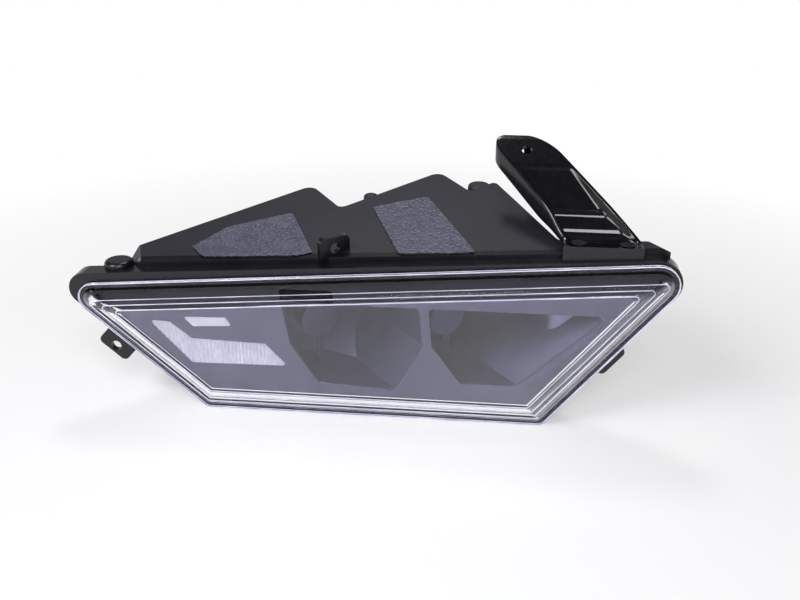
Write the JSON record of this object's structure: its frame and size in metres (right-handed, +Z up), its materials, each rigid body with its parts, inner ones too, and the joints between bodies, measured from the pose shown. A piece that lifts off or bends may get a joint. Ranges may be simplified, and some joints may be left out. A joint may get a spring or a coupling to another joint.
{
  "type": "automotive headlight assembly",
  "caption": "Wedge-shaped vehicle headlamp: clear bevelled lens glued to a black stepped housing, swept reflectors and a fluted marker inside, bolt tabs and a rising upper bracket.",
  "frame": {"origin": "a point near the middle of the bottom edge of the lens flange, at the lens parting plane, on the resting plane", "axes": "+X to the right seen from the front of the lens, +Y to the rear, +Z up"},
  "size_m": [0.3706, 0.1473, 0.1655],
  "materials": {
    "housing": "satin, fine grain on the pads",
    "seal": "matte",
    "lens": "clear, hard coated",
    "bezel": "satin",
    "reflector": "metallised",
    "screw": "zinc plated",
    "bracket": "gloss",
    "socket": "satin",
    "terminal": "satin",
    "bulb_base": "satin",
    "bulb_glass": "clear",
    "filament": "bare",
    "shield": "satin",
    "optic": "clear, fluted"
  },
  "bodies": {
    "root": {"bezel": "bezel", "bracket_screw_1": "screw", "bracket_screw_2": "screw", "bulb_base_high": "bulb_base", "bulb_base_low": "bulb_base", "bulb_glass_high": "bulb_glass", "bulb_glass_low": "bulb_glass", "bulb_shield_high": "shield", "bulb_shield_low": "shield", "filament_high": "filament", "filament_low": "filament", "housing": "housing", "lens": "lens", "lens_seal": "seal", "marker_bulb": "bulb_glass", "marker_optic": "optic", "marker_reflector": "reflector", "marker_seal": "seal", "marker_socket": "socket", "marker_window": "optic", "reflector_high": "reflector", "reflector_low": "reflector", "reflector_screw_high_1": "screw", "reflector_screw_high_2": "screw", "reflector_screw_low_1": "screw", "reflector_screw_low_2": "screw", "socket_high": "socket", "socket_low": "socket", "socket_seal_high": "seal", "socket_seal_low": "seal", "terminal_high_1": "terminal", "terminal_high_2": "terminal", "terminal_low_1": "terminal", "terminal_low_2": "terminal", "upper_bracket": "bracket"}
  },
  "joints": []
}
